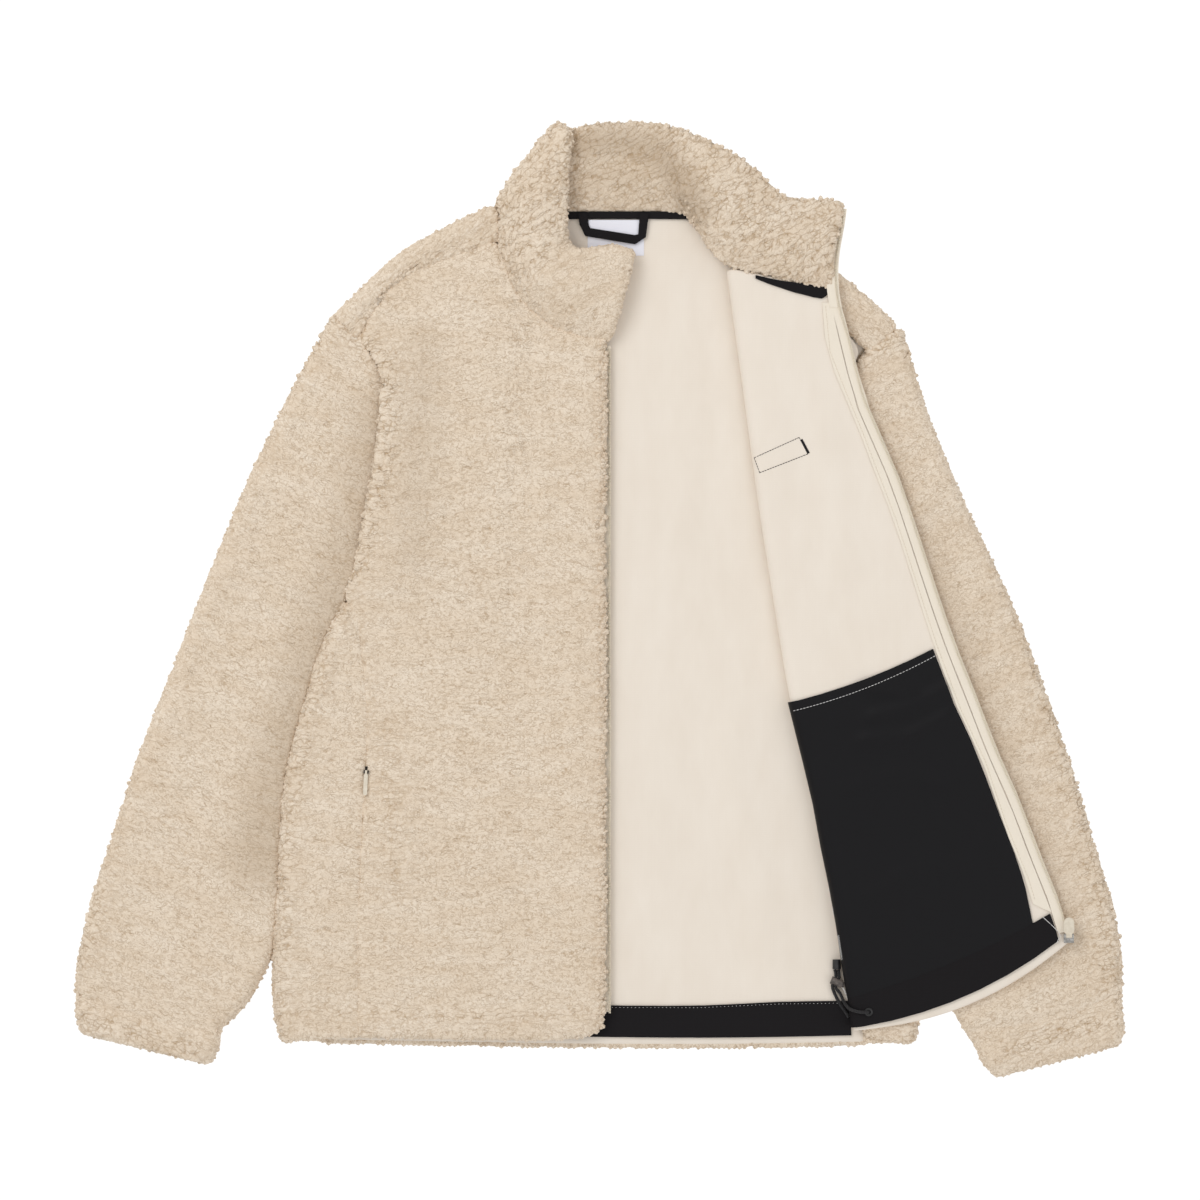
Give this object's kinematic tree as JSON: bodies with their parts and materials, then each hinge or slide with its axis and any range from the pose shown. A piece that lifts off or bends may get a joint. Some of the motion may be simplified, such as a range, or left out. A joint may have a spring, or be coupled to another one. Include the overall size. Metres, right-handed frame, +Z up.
{
  "type": "teddy jacket",
  "caption": "Full-zip teddy jacket with a stand collar, laid flat with one front closed and the other turned back over its sleeve.",
  "frame": {"origin": "under the middle of the whole garment, on the surface that it lies on", "axes": "+X to the wearer's left, across the sleeves; +Y from the hem to the collar; +Z up from the surface"},
  "size_m": [0.8882, 0.8064, 0.0357],
  "materials": {
    "pile": "cream sherpa pile with a smooth bonded backing",
    "black_cloth": "black woven facing and tricot",
    "tape": "cream woven zip tape and facing",
    "label": "white satin label without text",
    "coil": "cream nylon coil",
    "pull": "cream moulded pull",
    "metal": "nickel",
    "black_plastic": "black moulded",
    "lock": "grey-brown moulded",
    "elastic": "black braided elastic cord"
  },
  "bodies": {
    "jacket": {"back": "pile", "front_right": "pile", "front_left": "pile", "side_right": "pile", "side_left": "pile", "shoulder_right": "pile", "shoulder_left": "pile", "sleeve_right": "pile", "sleeve_left": "pile", "collar_outer": "pile", "collar_inner": "pile", "neck_tape": "black_cloth", "neck_tape_left": "black_cloth", "label_main": "label", "label_size": "label", "care_label": "label", "hanger_loop": "black_cloth", "back_hem_facing": "black_cloth", "front_left_hem_facing": "black_cloth", "pocket_bag": "black_cloth", "zip_facing": "tape", "zip_tape_left": "tape", "zip_coil_left": "coil", "zip_tape_right": "tape", "zip_slider": "metal", "pocket_zip_tape": "tape", "pocket_slider": "metal", "eyelet": "black_plastic", "cord_lock": "lock", "cord_eyelet": "elastic", "cord_hem": "elastic", "cord_end": "black_plastic"},
    "main_pull": {"zip_pull_tab": "pull"},
    "pocket_pull_tab": {"pocket_pull": "pull"},
    "lock_button": {"cord_lock_button": "lock"}
  },
  "joints": [
    {"name": "main_pull_turn", "type": "hinge", "parent": "jacket", "child": "main_pull", "pos_m": [0.39731, -0.28554, 0.0279], "axis": [1, 0, 0], "range_deg": [0, 165]},
    {"name": "pocket_pull_turn", "type": "hinge", "parent": "jacket", "child": "pocket_pull_tab", "pos_m": [-0.19919, -0.14634, 0.0174], "axis": [-0.9988, 0.05, 0], "range_deg": [0, 150]},
    {"name": "lock_button_press", "type": "slide", "parent": "jacket", "child": "lock_button", "axis": [-0.9272, 0.3746, 0], "range_m": [0, 0.002], "stiffness_N_per_m": 300, "springref_m": -0.003}
  ]
}
